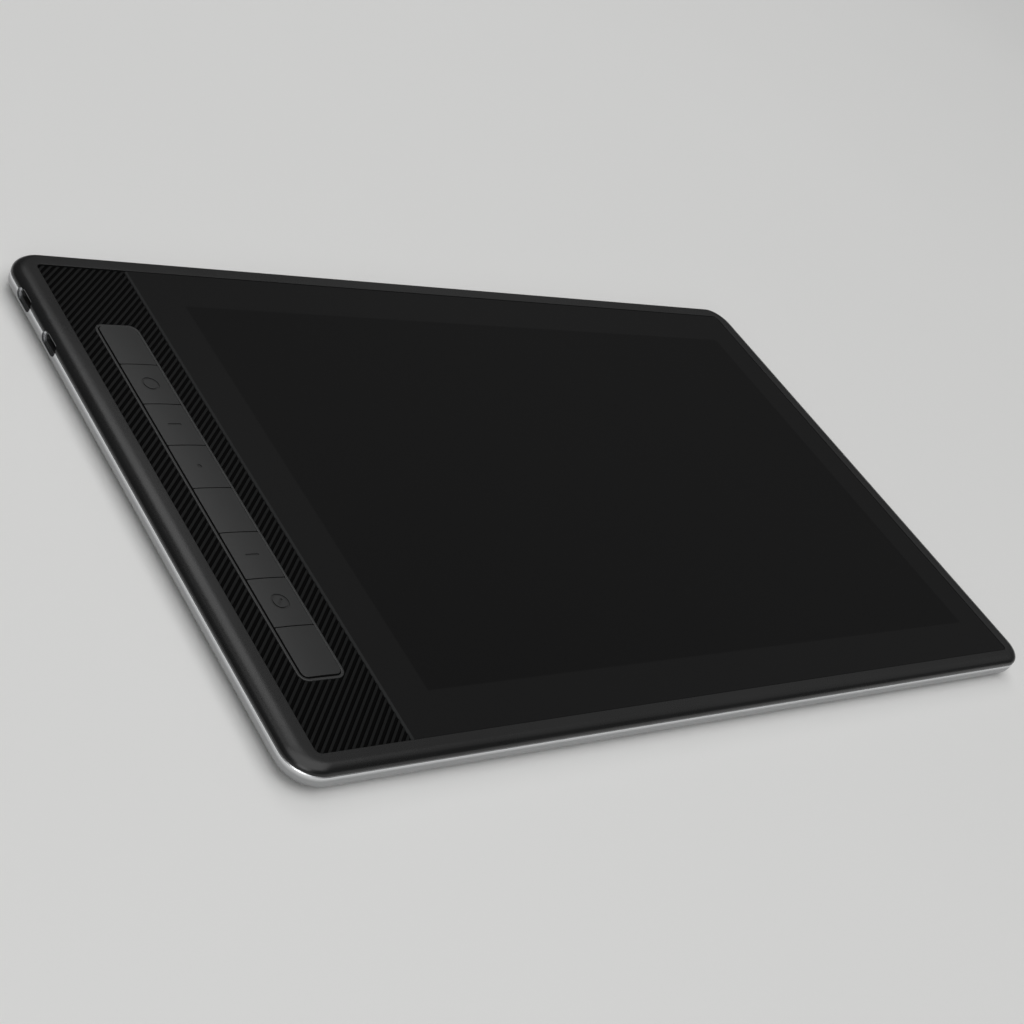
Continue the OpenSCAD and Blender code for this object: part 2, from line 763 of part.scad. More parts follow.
// Ribbon from the digitiser's top face down to its socket
module sensor_flex() color("#b8742c") {
    tail = sensor_left + flex_hold;
    bend = sensor_left - flex_bend;
    foot = bend - flex_slope;
    top = sensor_z + sensor_t;
    translate([0, flex_near_y + flex_w / 2, 0]) rotate([90, 0, 0]) linear_extrude(flex_w)
        polygon([[tail, top], [tail, top + flex_t], [bend, top + flex_t], [foot, plug_z + flex_t],
                 [plug_x, plug_z + flex_t], [plug_x, plug_z], [foot + flex_t, plug_z], [bend + flex_t, top]]);
}

module foot(y) color("#1c1c1d") translate([0, y, 0])
    linear_extrude(foot_h + foot_sink) foot_outline(-seat_gap);

// Pan-head screw with its head down
module screw(d, head_d, head_t, shank) {
    cylinder(d = head_d, h = head_t);
    cylinder(d = d, h = head_t + shank);
}

module cover_screws() color("#6f7275")
    for (x = cover_xs) for (y = cover_ys) translate([x, y, foot_h + foot_sink])
        screw(screw_d, screw_head_d, head_h, plate_z - foot_h - foot_sink - head_h + plate_t / 2);

module plate_screws() color("#6f7275")
    for (x = ear_xs) for (y = ear_ys) translate([x, y, plate_z - head_h])
        screw(screw_d, screw_head_d, head_h, plate_t + bite);

module board_screws() color("#6f7275")
    for (p = board_holes) translate([p[0], p[1], board_top + head_h])
        mirror([0, 0, 1]) screw(screw_d, screw_head_d, head_h, board_t + board_z - floor_z - tip_room);

module key_board_screws() color("#6f7275")
    for (x = post_xs) for (y = post_ys) translate([x, y, key_board_z - post_head_h])
        screw(post_screw_d, post_head_d, post_head_h, key_board_t + key_well - tip_room);

front_frame();
back_cover();
cover_glass();
glass_tape();
optical_bond();
lcd_panel();
diffuser_films();
light_guide();
led_bar();
backlight_tray();
sensor_board();
mid_plate();
main_board();
board_chips();
key_connector();
usb_port(port_ys[0]);  // usb_port_far
usb_port(port_ys[1]);  // usb_port_near
key_panel();
key_surround();
key(0);  // key_1
key(1);  // key_2
key(2);  // key_3
key(3);  // key_4
key(4);  // key_5
key(5);  // key_6
key(6);  // key_7
key(7);  // key_8
dome_strip();
key_board();
power_button();
power_switch();
lcd_flex();
sensor_flex();
foot(-foot_y);  // foot_near
foot(foot_y);  // foot_far
cover_screws();
plate_screws();
board_screws();
key_board_screws();
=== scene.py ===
# %% [markdown]
# # Dressing a pen display
# The CAD model holds every piece of this drawing tablet at its real size, in metres.
# The origin is under the middle of the body, X runs along the long sides and Z points up.
# Loading it gives a fixed frame. What follows adds smooth skins, soft edges and finishes to it.

# %% Load the CAD frame
import json
import math

import bmesh
import bpy
from mathutils import Matrix, Vector


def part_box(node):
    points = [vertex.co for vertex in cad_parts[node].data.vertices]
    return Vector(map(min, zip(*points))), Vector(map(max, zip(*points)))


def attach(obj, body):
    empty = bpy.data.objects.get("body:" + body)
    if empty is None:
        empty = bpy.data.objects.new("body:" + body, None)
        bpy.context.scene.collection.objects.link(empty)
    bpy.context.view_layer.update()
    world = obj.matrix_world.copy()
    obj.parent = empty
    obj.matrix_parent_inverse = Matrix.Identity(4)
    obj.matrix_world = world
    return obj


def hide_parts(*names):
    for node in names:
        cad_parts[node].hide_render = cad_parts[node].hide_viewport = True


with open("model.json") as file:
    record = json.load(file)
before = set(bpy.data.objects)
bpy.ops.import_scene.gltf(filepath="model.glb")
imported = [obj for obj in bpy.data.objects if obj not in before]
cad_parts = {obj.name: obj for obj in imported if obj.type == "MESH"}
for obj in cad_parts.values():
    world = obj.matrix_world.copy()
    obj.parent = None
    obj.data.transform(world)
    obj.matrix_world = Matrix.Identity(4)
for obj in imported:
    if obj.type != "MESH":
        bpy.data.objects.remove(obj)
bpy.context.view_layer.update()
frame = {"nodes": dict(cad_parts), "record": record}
nodes = frame["nodes"]
MM = 0.001

# %% [markdown]
# ## The camera
# The corners of the tablet's opening are easy to find in the photograph, and their real size is known.
# Such a rectangle fixes the camera completely: where it stands, where it looks, its roll and its lens.
# The camera is turned by a matrix of its own right, up and backward directions, which also holds the roll.

# %% Camera
eye = Vector((-455.2, -326.4, 329.0)) * MM
look = Vector((0.6817, 0.5093, -0.5252)).normalized()
right = look.cross(Vector((0.0271, 0.6998, 0.7138))).normalized()
focal_px, image_px, sensor_mm = 1717.5, 1024, 36
camera_data = bpy.data.cameras.new("photo_camera")
camera_data.sensor_width = sensor_mm
camera_data.lens = focal_px * sensor_mm / image_px
camera = bpy.data.objects.new("photo_camera", camera_data)
turned = Matrix((right, right.cross(look), -look)).transposed().to_4x4()
camera.matrix_world = Matrix.Translation(eye) @ turned
scene = bpy.context.scene
scene.collection.objects.link(camera)
scene.camera = camera
print("lens, mm:", round(camera_data.lens, 2))

# %% [markdown]
# ## Light
# The tablet is dark and smooth, so what it mirrors matters as much as what falls on it.
# A lamp high behind the far side draws the soft bright line along the left shoulder, as in the photograph.
# A large dim panel stands where the flat faces mirror it, so glass, keys and frame differ by their gloss.
# Its lower edge is kept high, or the faces far from the camera, which mirror lower, would come out brighter.
# A ceiling of light, high and very wide, keeps the floor even, and a weak lamp beside the camera fills in.
# The world stays dark, because the steep part of the shoulders mirrors it and is nearly black in the photo.
# An area lamp of P watts at d metres lights a white surface to about P / (pi * pi * d * d).
# Each lamp is therefore given by its level, where 1 would light a white surface to full white.

# %% Lamps and world
world_grey = 0.08


def softbox(name, spot, level, wide, tall):
    spot = Vector(spot)
    lamp = bpy.data.lights.new(name, "AREA")
    lamp.shape = "RECTANGLE"
    lamp.size = wide
    lamp.size_y = tall
    lamp.energy = level * math.pi ** 2 * spot.length_squared
    made = bpy.data.objects.new(name, lamp)
    facing_tablet = spot.to_track_quat("Z", "Y").to_matrix().to_4x4()
    made.matrix_world = Matrix.Translation(spot) @ facing_tablet
    scene.collection.objects.link(made)
    print(name, "gives", round(lamp.energy, 2), "watts")


softbox("far_lamp", (0.28, 0.94, 1.35), 0.088, 0.70, 0.70)
softbox("mirrored_panel", (1.33, 0.33, 1.32), 0.056, 2.65, 1.35)
softbox("overhead_lamp", (-0.8, -2.4, 15.2), 0.72, 19.2, 19.2)
softbox("camera_side_lamp", (-1.1, -1.2, 0.9), 0.20, 1.0, 1.0)

world = bpy.data.worlds.new("studio")
world.use_nodes = True
background = world.node_tree.nodes["Background"]
background.inputs["Color"].default_value = (world_grey, world_grey, world_grey, 1)
scene.world = world
scene.view_settings.view_transform = "Standard"

# %% [markdown]
# ## Writing finishes as sums
# A finish is a node tree, but it reads better as a formula.
# `Amount` wraps one output socket, and its operators add Math nodes.
# So `1 - mask` or `0.4 + 0.1 * grain` just works, whichever side the plain number stands on.
# `Finish` is a material, and its `node` method adds any other node: its settings first, then its sockets.

# %% Shader helpers
class Amount:
    def __init__(self, finish, socket):
        self.finish = finish
        self.socket = socket

    def maths(self, operation, first, second=0.0, clamp=False):
        settings = {"operation": operation, "use_clamp": clamp}
        return self.finish.node("ShaderNodeMath", settings, {0: first, 1: second})

    def __add__(self, other):
        return self.maths("ADD", self, other)

    def __radd__(self, other):
        return self.maths("ADD", other, self)

    def __sub__(self, other):
        return self.maths("SUBTRACT", self, other)

    def __rsub__(self, other):
        return self.maths("SUBTRACT", other, self)

    def __mul__(self, other):
        return self.maths("MULTIPLY", self, other)

    def __rmul__(self, other):
        return self.maths("MULTIPLY", other, self)

    def __truediv__(self, other):
        return self.maths("DIVIDE", self, other)

    def __abs__(self):
        return self.maths("ABSOLUTE", self)

    def larger(self, other):
        return self.maths("MAXIMUM", self, other)

    def clamped(self):
        return self.maths("ADD", self, 0.0, clamp=True)


class Finish:
    def __init__(self, name, **constants):
        self.material = bpy.data.materials.new(name)
        self.material.use_nodes = True
        self.tree = self.material.node_tree
        self.shader = self.tree.nodes["Principled BSDF"]
        for key, value in constants.items():
            self.feed(key.replace("_", " "), value)

    def node(self, kind, settings, sockets, out=0):
        made = self.tree.nodes.new(kind)
        for key, value in settings.items():
            setattr(made, key, value)
        for key, value in sockets.items():
            self.join(made.inputs[key], value)
        return Amount(self, made.outputs[out])

    def join(self, socket, value):
        if isinstance(value, Amount):
            self.tree.links.new(value.socket, socket)
        else:
            socket.default_value = value

    def feed(self, name, value):
        self.join(self.shader.inputs[name], value)

    def place(self):
        return self.node("ShaderNodeTexCoord", {}, {}, "Object")

    def along(self):
        split = self.node("ShaderNodeSeparateXYZ", {}, {0: self.place()})
        return [Amount(self, out) for out in split.socket.node.outputs]

    def stretched(self, scale):
        return self.node("ShaderNodeVectorMath", {"operation": "MULTIPLY"}, {0: self.place(), 1: scale})

    def noise(self, size, detail=2.0, where=None):
        sockets = {"Vector": where or self.place(), "Scale": 1 / size, "Detail": detail}
        return self.node("ShaderNodeTexNoise", {}, sockets)

    def blend(self, mask, low, high):
        ends = [colour if isinstance(colour, Amount) else (*colour, 1) for colour in (low, high)]
        return self.node("ShaderNodeMix", {"data_type": "RGBA"}, {0: mask, 6: ends[0], 7: ends[1]}, 2)

    def relief(self, height, depth):
        sockets = {"Height": height, "Strength": 1.0, "Distance": depth}
        self.feed("Normal", self.node("ShaderNodeBump", {}, sockets))


print("materials before the first finish:", len(bpy.data.materials))

# %% [markdown]
# ## Moulded plastics
# Frame, keys and ribbed strip are moulded, in moulds that are spark-eroded to a fine even grain.
# The grain scatters light, so the surface is satin, and slow changes in the skin vary the shine a little.
# Noise a fifth of a millimetre across makes the grain, as relief, and a much larger one tints the skin.

# %% Moulded finishes
def grey(level):
    return (level, level, level)


def moulded(name, low, high, shine, grain_size=0.22 * MM, depth=0.006 * MM, **constants):
    finish = Finish(name, **constants)
    grain = finish.noise(grain_size)
    drift = finish.noise(34 * MM, 3.0)
    finish.skin = finish.blend(drift, low, high)
    finish.feed("Base Color", finish.skin)
    finish.feed("Roughness", shine + 0.10 * drift + 0.06 * grain)
    finish.relief(grain, depth)
    return finish


frame_black = moulded("satin_frame_black", (0.0065, 0.0066, 0.0067), (0.0095, 0.0096, 0.0097), 0.20)
trim_grey = moulded("satin_trim_grey", (0.018, 0.0185, 0.0185), (0.023, 0.0235, 0.0235), 0.36,
                    depth=0.003 * MM)
tongue_black = moulded("tongue_black", grey(0.010), grey(0.016), 0.35)
print("moulded:", frame_black.material.name, trim_grey.material.name, tongue_black.material.name)

# %% [markdown]
# A key's top is crowned a little across the row: its left flank catches the far lamp and its right one less.
# Its marks are cut 0.2 mm into that crown, and their floors are painted darker, as painted shade in the
# recess.
# The mask follows the crown: a parabola across the key, with the height of a point measured against it.

# %% Key finish
flange_reach, mark_depth, crown = 0.7 * MM, 0.2 * MM, 0.18 * MM
key_low, key_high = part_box("key_1")
key_x = (key_low.x + key_high.x) / 2
key_half = (key_high.x - key_low.x) / 2 - flange_reach
key_grey = moulded("satin_key_grey", (0.0145, 0.015, 0.015), (0.0195, 0.020, 0.020), 0.29)
x, _, z = key_grey.along()
aside = (x - key_x) / key_half
raised = ((z + crown * aside * aside - key_high.z) / mark_depth + 1).clamped()
# Below the crown, inside a mark, the colour turns darker grey: painted shade on the mark floors.
key_grey.feed("Base Color", key_grey.blend(raised, grey(0.009), key_grey.skin))
print("key tops at, mm:", round(key_high.z / MM, 2), "with a crown of", round(crown / MM, 2))

# %% [markdown]
# The strip's ribs are the same plastic, but their grooves are deep and swallow light.
# The height of a point is in its Object coordinate, so one sum makes a mask: 1 on a crest, 0 just below it.
# The crests are touched and polished by the hand, so they are smoother; the grooves are painted near black,
# as painted shade in the deep grooves.

# %% Ribbed strip finish
crest_fade = 0.12 * MM
# The groove colour is painted shade, almost black; the crest colour is the plain black of the plastic.
groove_painted_shade, crest_black = grey(0.0006), (0.0066, 0.0069, 0.0069)
strip_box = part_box("key_panel")
strip_black = Finish("ribbed_strip_black", Specular_IOR_Level=0.10)
height = strip_black.along()[2]
crest = ((height - strip_box[1].z) / crest_fade + 1.2).clamped()
rib_grain = strip_black.noise(0.2 * MM)
# Painted shade in the grooves, plain black on the crests.
strip_black.feed("Base Color", strip_black.blend(crest, groove_painted_shade, crest_black))
strip_black.feed("Roughness", 0.92 - 0.54 * crest + 0.08 * rib_grain)
strip_black.relief(rib_grain, 0.004 * MM)
print("rib crests at, mm:", round(strip_box[1].z / MM, 2))

# %% [markdown]
# ## Screen glass
# The glass is etched so that it doesn't glare, and its border is printed black on the underside.
# With the screen off, the lit area shows as a slightly deeper black inside the print.
# The mask is the distance past the lit area's edge, the larger of the two directions, over a soft edge.
# A second mask picks out the wide ground bevel beside the key strip and paints it paler, a painted highlight
# along the joint.
# A thin coating takes away most of the mirror shine, which is one constant on the shader.

# %% Screen glass finish
lit_w, lit_d, print_edge = 286.5 * MM, 179.1 * MM, 0.5 * MM
joint_bevel, joint_highlight_fade = 0.6 * MM, 0.05 * MM
lit_black, border_black = (0.0058, 0.0058, 0.0059), (0.0095, 0.0095, 0.0096)
glass_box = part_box("cover_glass")
lcd_low, lcd_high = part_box("lcd_panel")
lit_x, lit_y = (lcd_low.x + lcd_high.x) / 2, (lcd_low.y + lcd_high.y) / 2
screen_glass = Finish("etched_screen_glass", Specular_IOR_Level=0.08, IOR=1.5)
x, y, _ = screen_glass.along()
outside = (abs(x - lit_x) - lit_w / 2).larger(abs(y - lit_y) - lit_d / 2)
border = (outside / print_edge + 0.5).clamped()
joint_highlight = ((glass_box[0].x + joint_bevel - x) / joint_highlight_fade + 0.5).clamped()
smudge = screen_glass.noise(45 * MM, 3.0)
etch = screen_glass.noise(0.12 * MM)
printed = screen_glass.blend(border, lit_black, border_black)
# The wide bevel at the joint is painted pale grey: a painted highlight along the key strip.
screen_glass.feed("Base Color", screen_glass.blend(joint_highlight, printed, (0.034, 0.035, 0.035)))
screen_glass.feed("Roughness", 0.27 + 0.07 * smudge + 0.05 * etch)
screen_glass.relief(etch, 0.002 * MM)
print("lit area's middle, mm:", round(lit_x / MM, 2), round(lit_y / MM, 2))

# %% [markdown]
# ## Metals and rubber
# The back cover is blasted and anodised aluminium: grey metal with a fine frost and no brush lines.
# A band just below the seam is painted much brighter metal, a painted highlight along the wall's upper edge.
# The socket shells are drawn steel, with faint lines along the draw, which a stretched noise gives.
# The foot strips are rubber, dull and slightly pitted.

# %% Metal and rubber finishes
def metal(name, low, high, shine, grain_size, depth, stretch=(1, 1, 1)):
    finish = Finish(name, Metallic=1.0)
    grain = finish.noise(grain_size, 2.0, finish.stretched(stretch))
    drift = finish.noise(28 * MM, 2.0)
    finish.skin = finish.blend(drift, low, high)
    finish.feed("Base Color", finish.skin)
    finish.feed("Roughness", shine + 0.08 * drift + 0.10 * grain)
    finish.relief(grain, depth)
    return finish


shell_silver = metal("blasted_shell_silver", (0.36, 0.365, 0.37), (0.41, 0.415, 0.42), 0.26,
                     0.16 * MM, 0.004 * MM)
cover_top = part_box("back_cover")[1].z
# Height and fade of the painted highlight: a band of much brighter metal that fades in up the wall to the
# seam.
highlight_band, highlight_fade = 1.9 * MM, 1.6 * MM
painted_highlight = ((shell_silver.along()[2] - cover_top + highlight_band) / highlight_fade).clamped()
shell_silver.feed("Base Color", shell_silver.blend(painted_highlight, shell_silver.skin, (0.88, 0.89, 0.90)))
port_steel = metal("drawn_port_steel", (0.26, 0.265, 0.27), (0.32, 0.325, 0.33), 0.30,
                   0.10 * MM, 0.002 * MM, (0.05, 1, 1))
contact_gold = metal("plated_contact_gold", (0.78, 0.57, 0.24), (0.86, 0.66, 0.32), 0.22,
                     0.08 * MM, 0.001 * MM)
foot_rubber = moulded("pitted_foot_rubber", grey(0.012), grey(0.019), 0.66, 0.35 * MM, 0.02 * MM)
print("metals:", shell_silver.material.name, port_steel.material.name, contact_gold.material.name)

# %% [markdown]
# ## Drawing loops and lofting them
# Most pieces here are rounded rectangles in plan that change a little from level to level.
# `loop` draws one: a single grid face, its corners rounded by a vertex bevel, and the face taken away.
# `loft` bridges loops in order. Every loop has the same number of points, so each bridge is a band of quads.
# Two loops at one height give a bridge no direction to follow, and it can come out twisted.
# The loops are therefore pulled apart along Z for the bridging, like an opened concertina, then put back.

# %% Loop and loft
full_round = 0.49


def rectangle(shape, w, d, x, y, z):
    at = Matrix.Translation((x, y, z)) @ Matrix.Diagonal((w, d, 1, 1))
    return bmesh.ops.create_grid(shape, x_segments=1, y_segments=1, size=0.5, matrix=at)["verts"]


def round_corners(shape, corners, r, steps):
    bmesh.ops.bevel(shape, geom=corners, offset=r, affect="VERTICES", segments=steps,
                    profile=0.5, material=-1)


def loop(shape, w, d, r, z, x=0.0, y=0.0, steps=10):
    seen = set(shape.faces)
    round_corners(shape, rectangle(shape, w, d, x, y, z), r, steps)
    face = next(f for f in shape.faces if f not in seen)
    edges = list(face.edges)
    bmesh.ops.delete(shape, geom=[face], context="FACES_ONLY")
    return edges


def loft(shape, loops, closed=False, apart=0.05):
    rows = [list({v for edge in edges for v in edge.verts}) for edges in loops]
    for k, row in enumerate(rows):
        bmesh.ops.translate(shape, vec=(0, 0, k * apart), verts=row)
    for low, high in zip(loops, loops[1:] + (loops[:1] if closed else [])):
        bmesh.ops.bridge_loops(shape, edges=low + high)
    if not closed:
        for end in (loops[0], loops[-1]):
            bmesh.ops.edgeloop_fill(shape, edges=end)
    for k, row in enumerate(rows):
        bmesh.ops.translate(shape, vec=(0, 0, -k * apart), verts=row)
    bmesh.ops.recalc_face_normals(shape, faces=shape.faces)
    return shape


def prism(w, d, r, low, high):
    shape = bmesh.new()
    return loft(shape, [loop(shape, w, d, r, low), loop(shape, w, d, r, high)])


def pill(w, h, low, high):
    return prism(w, h, full_round * h, low, high)


def shifted(shape, x, y):
    bmesh.ops.translate(shape, vec=(x, y, 0), verts=shape.verts)
    return shape


trial = prism(20 * MM, 10 * MM, 2 * MM, 0, MM)
print("a trial block has", len(trial.faces), "faces,", round(trial.calc_volume() / MM ** 3, 1), "cubic mm")
trial.free()

# %% [markdown]
# ## From a shape to a piece
# `carve` takes tools out of a shape with the Boolean modifier and keeps the result, so no tool stays behind.
# It works in millimetres, because the modifier merges points that are very close when given in metres.
# `piece` turns a shape into an object, shaded smooth, with sharp edges where faces turn by a large angle.
# Long flat bands beside tight corners shade badly, so weighted normals let larger faces set the direction.
# Each piece rides on a body of the CAD model, carries its finish and stands for its CAD node, which is
# hidden.

# %% Carve and piece
def on_bench(source, name):
    mesh = bpy.data.meshes.new(name)
    bmesh.ops.scale(source, vec=Vector((1, 1, 1)) / MM, verts=source.verts)
    source.to_mesh(mesh)
    source.free()
    made = bpy.data.objects.new(name, mesh)
    scene.collection.objects.link(made)
    return made


def carve(shape, *tools):
    block = on_bench(shape, "carve_block")
    cutters = [on_bench(tool, "carve_tool") for tool in tools]
    for cutter in cutters:
        step = block.modifiers.new("carve", "BOOLEAN")
        step.operation = "DIFFERENCE"
        step.solver = "EXACT"
        step.object = cutter
    result = bmesh.new()
    result.from_object(block, bpy.context.evaluated_depsgraph_get())
    bmesh.ops.scale(result, vec=Vector((1, 1, 1)) * MM, verts=result.verts)
    for made in (block, *cutters):
        mesh = made.data
        bpy.data.objects.remove(made)
        bpy.data.meshes.remove(mesh)
    return result


def piece(shape, name, finish, body="chassis", stands_for=(), crease=32):
    bmesh.ops.remove_doubles(shape, verts=shape.verts, dist=0.0005 * MM)
    for face in shape.faces:
        face.smooth = True
    for edge in shape.edges:
        edge.smooth = edge.is_manifold and edge.calc_face_angle() < math.radians(crease)
    mesh = bpy.data.meshes.new(name)
    shape.to_mesh(mesh)
    shape.free()
    mesh.materials.append(finish.material)
    made = bpy.data.objects.new(name, mesh)
    scene.collection.objects.link(made)
    even = made.modifiers.new("even_shade", "WEIGHTED_NORMAL")
    even.keep_sharp = True
    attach(made, body)
    if stands_for:
        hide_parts(*stands_for)
    print(name, "has", len(mesh.polygons), "faces")


trial = carve(prism(20 * MM, 10 * MM, 2 * MM, 0, MM), pill(10 * MM, 4 * MM, -MM, 2 * MM))
print("a carved trial block keeps", round(trial.calc_volume() / MM ** 3, 1), "cubic mm")
trial.free()

# %% [markdown]
# ## Openings in the sides
# Two sockets open in the left side and the power button in the far side, right across the shells' seam.
# Both shells are therefore cut by the same tools: round-ended blocks, turned to face the side they enter.
# A socket takes two tools, a shallow pocket round its mouth and a deeper hole for its sleeve.

# %% Side tools
wall = 1.8 * MM
pocket_w, pocket_h = 10.8 * MM, 4.2 * MM
sleeve_hole_w, sleeve_hole_h, socket_gap = 9.54 * MM, 3.76 * MM, 0.3 * MM
button_hole_w, button_hole_h = 10.6 * MM, 3 * MM
start_outside, end_inside = -2 * MM, 4 * MM
body_low, body_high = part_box("front_frame")
body_w, body_d, top_z = body_high.x - body_low.x, body_high.y - body_low.y, body_high.z
ports = {side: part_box("usb_port_" + side) for side in ("far", "near")}
button_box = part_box("power_button")
facing_left = Matrix(((0, 0, 1), (1, 0, 0), (0, 1, 0))).to_4x4()
facing_far = Matrix(((1, 0, 0), (0, 0, -1), (0, 1, 0))).to_4x4()


def middle(box):
    return (box[0] + box[1]) / 2


def mouth_of(box):
    return Vector((box[0].x, middle(box).y, middle(box).z))


def turned_to(shape, facing, spot):
    bmesh.ops.transform(shape, matrix=Matrix.Translation(spot) @ facing, verts=shape.verts)
    bmesh.ops.recalc_face_normals(shape, faces=shape.faces)
    return shape


def side_tools():
    tools = []
    for box in ports.values():
        pocket = pill(pocket_w, pocket_h, start_outside, 0)
        hole = pill(sleeve_hole_w, sleeve_hole_h, start_outside, box[1].x - box[0].x + socket_gap)
        tools.append(turned_to(pocket, facing_left, mouth_of(box)))
        tools.append(turned_to(hole, facing_left, mouth_of(box)))
    button_hole = pill(button_hole_w, button_hole_h, start_outside, end_inside)
    spot = Vector((middle(button_box).x, body_high.y, middle(button_box).z))
    tools.append(turned_to(button_hole, facing_far, spot))
    return tools


print("body, mm:", round(body_w / MM, 2), round(body_d / MM, 2), "top at", round(top_z / MM, 2))

# %% [markdown]
# ## The front frame
# The black frame is one moulding: a flat ring round the glass, a rounded shoulder and a short edge below.
# The shoulder is an ellipse: wide on the short sides, narrower on the near long side, least on the far one.
# A bevel along the edge can't change its width, so the section is lofted: each level is one loop.
# The loft runs from the inside over the top and down the opening's wall, and ends in a thin closed floor.

# %% Front frame levels
corner_r, opening_r = 11 * MM, 2 * MM
side_shoulder, near_shoulder, far_shoulder = 5.9 * MM, 3.4 * MM, 1.8 * MM
seam_z, seam_bevel = top_z - 3 * MM, 0.3 * MM
seat_gap, tape_t, ledge_t = 0.1 * MM, 0.2 * MM, 1 * MM
rim_levels = ((0.2 * MM, 0), (0.06 * MM, 0.06 * MM), (0, 0.2 * MM))
opening_w = glass_box[1].x - strip_box[0].x + 2 * seat_gap
opening_d = glass_box[1].y - glass_box[0].y + 2 * seat_gap
opening_y = middle(glass_box).y
ledge_z = glass_box[0].z - tape_t
shelf_z = ledge_z - ledge_t


def body_loop(shape, ix, iy, z, own_r=None):
    return loop(shape, body_w - 2 * ix, body_d - 2 * iy, own_r or corner_r - (ix + iy) / 2, z)


def opening_loop(shape, grow, z):
    return loop(shape, opening_w + 2 * grow, opening_d + 2 * grow, opening_r + grow, z, y=opening_y)


def shoulder_loop(shape, inward, z):
    ix, near, far = side_shoulder * inward, near_shoulder * inward, far_shoulder * inward
    r = corner_r - (2 * ix + near + far) / 4
    return loop(shape, body_w - 2 * ix, body_d - near - far, r, z, y=(near - far) / 2)


def frame_shape(shoulder_steps=12):
    shape = bmesh.new()
    loops = [body_loop(shape, wall, wall, shelf_z), body_loop(shape, wall, wall, seam_z)]
    loops.append(body_loop(shape, seam_bevel, seam_bevel, seam_z))
    drop = top_z - seam_z - seam_bevel
    for k in range(shoulder_steps + 1):
        angle = math.radians(90 * (1 - k / shoulder_steps))
        loops.append(shoulder_loop(shape, 1 - math.sin(angle), top_z - drop * (1 - math.cos(angle))))
    for grow, down in rim_levels + ((0, top_z - ledge_z),):
        loops.append(opening_loop(shape, grow, top_z - down))
    return loft(shape, loops)


print("opening, mm:", round(opening_w / MM, 2), round(opening_d / MM, 2), "ledge at", round(ledge_z / MM, 2))

# %% [markdown]
# Glass and key strip need something to lie on. Windows are carved through the floor of the frame,
# one for the screen and one for the keys, and what is left between and around them is the ledge.
# The strip lies a little deeper than the glass, so its part of the ledge is lowered by a third tool.

# %% Ledge and frame
ledge_w, strip_ledge_w, strip_t, window_r = 5 * MM, 3.35 * MM, 1.3 * MM, 0.2 * MM


def window(start, end, inset, low, high):
    shape = prism(end - start, opening_d - 2 * inset, window_r, low, high)
    return shifted(shape, (start + end) / 2, opening_y)


def ledge_tools(spare=0.1 * MM):
    left, joint, far_right = strip_box[0].x, strip_box[1].x, glass_box[1].x
    low, high = shelf_z - spare, ledge_z + spare
    screen = window(joint + ledge_w, far_right - ledge_w, ledge_w, low, high)
    strip_seat = window(left, joint, seat_gap / 2, strip_box[1].z - strip_t, high)
    key_window = window(left + strip_ledge_w, joint - strip_ledge_w, strip_ledge_w, low, high)
    return [screen, strip_seat, key_window]


frame_carved = carve(frame_shape(), *side_tools(), *ledge_tools())
piece(frame_carved, "frame_skin", frame_black, stands_for=["front_frame"])

# %% [markdown]
# ## The back cover
# The cover is a shallow metal dish: a flat floor, a rounded edge and a short straight wall up to the seam.
# Its edge is an ellipse too, drawn in far under the short sides, so that the tablet looks thinner there.
# It is lofted like the frame, outside and inside in one list of loops, and closed by the two floors.
# Its floor has a groove for each foot strip, and its walls take the same side openings.

# %% Back cover
foot_boxes = {side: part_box("foot_" + side) for side in ("near", "far")}
cover_low, floor_t, lip_gap = 0.8 * MM, 1.2 * MM, 0.15 * MM
edge_side, edge_end, edge_h = 8.5 * MM, 3 * MM, 4.3 * MM
groove_start = -1 * MM


def dish_loops(shape, inset, low_z, less, steps):
    loops = []
    for k in range(steps + 1):
        angle = math.radians(90 * k / steps)
        inward, rise = 1 - math.sin(angle), (edge_h - less) * (1 - math.cos(angle))
        ix, iy = inset + (edge_side - less) * inward, inset + (edge_end - less) * inward
        loops.append(body_loop(shape, ix, iy, low_z + rise, corner_r - inset))
    return loops


def cover_shape():
    shape = bmesh.new()
    outer = dish_loops(shape, 0, cover_low, 0, 12)
    rim = [body_loop(shape, 0, 0, seam_z - seam_bevel), body_loop(shape, seam_bevel, seam_bevel, seam_z)]
    inset = wall - lip_gap
    inner = dish_loops(shape, inset, cover_low + floor_t, floor_t, 6)
    top = [body_loop(shape, inset, inset, seam_z)]
    return loft(shape, outer + rim + top + inner[::-1])


def groove(box):
    size = box[1] - box[0]
    shape = pill(size.x + 2 * seat_gap, size.y + 2 * seat_gap, groove_start, box[1].z)
    return shifted(shape, middle(box).x, middle(box).y)


grooves = [groove(box) for box in foot_boxes.values()]
cover_carved = carve(cover_shape(), *side_tools(), *grooves)
piece(cover_carved, "cover_skin", shell_silver, stands_for=["back_cover"])

# %% [markdown]
# ## Foot strips
# Each foot is a long rubber strip glued in its groove, with round ends and softened lower edges.
# An edge bevel is the natural tool: the lower edges are picked by height and rounded in three steps.

# %% Foot strips
foot_edge, touch = 0.3 * MM, 0.01 * MM


def soften(shape, edges, width, steps=3):
    bmesh.ops.bevel(shape, geom=edges, offset=width, affect="EDGES", segments=steps,
                    profile=0.5, material=-1)
    return shape


def edges_at(shape, z):
    return [e for e in shape.edges if all(abs(v.co.z - z) < touch for v in e.verts)]


for side, (low, high) in foot_boxes.items():
    strip = pill(high.x - low.x, high.y - low.y, low.z, high.z)
    soften(strip, edges_at(strip, low.z), foot_edge)
    shifted(strip, 0, (low.y + high.y) / 2)
    piece(strip, "foot_strip_" + side, foot_rubber, stands_for=["foot_" + side])

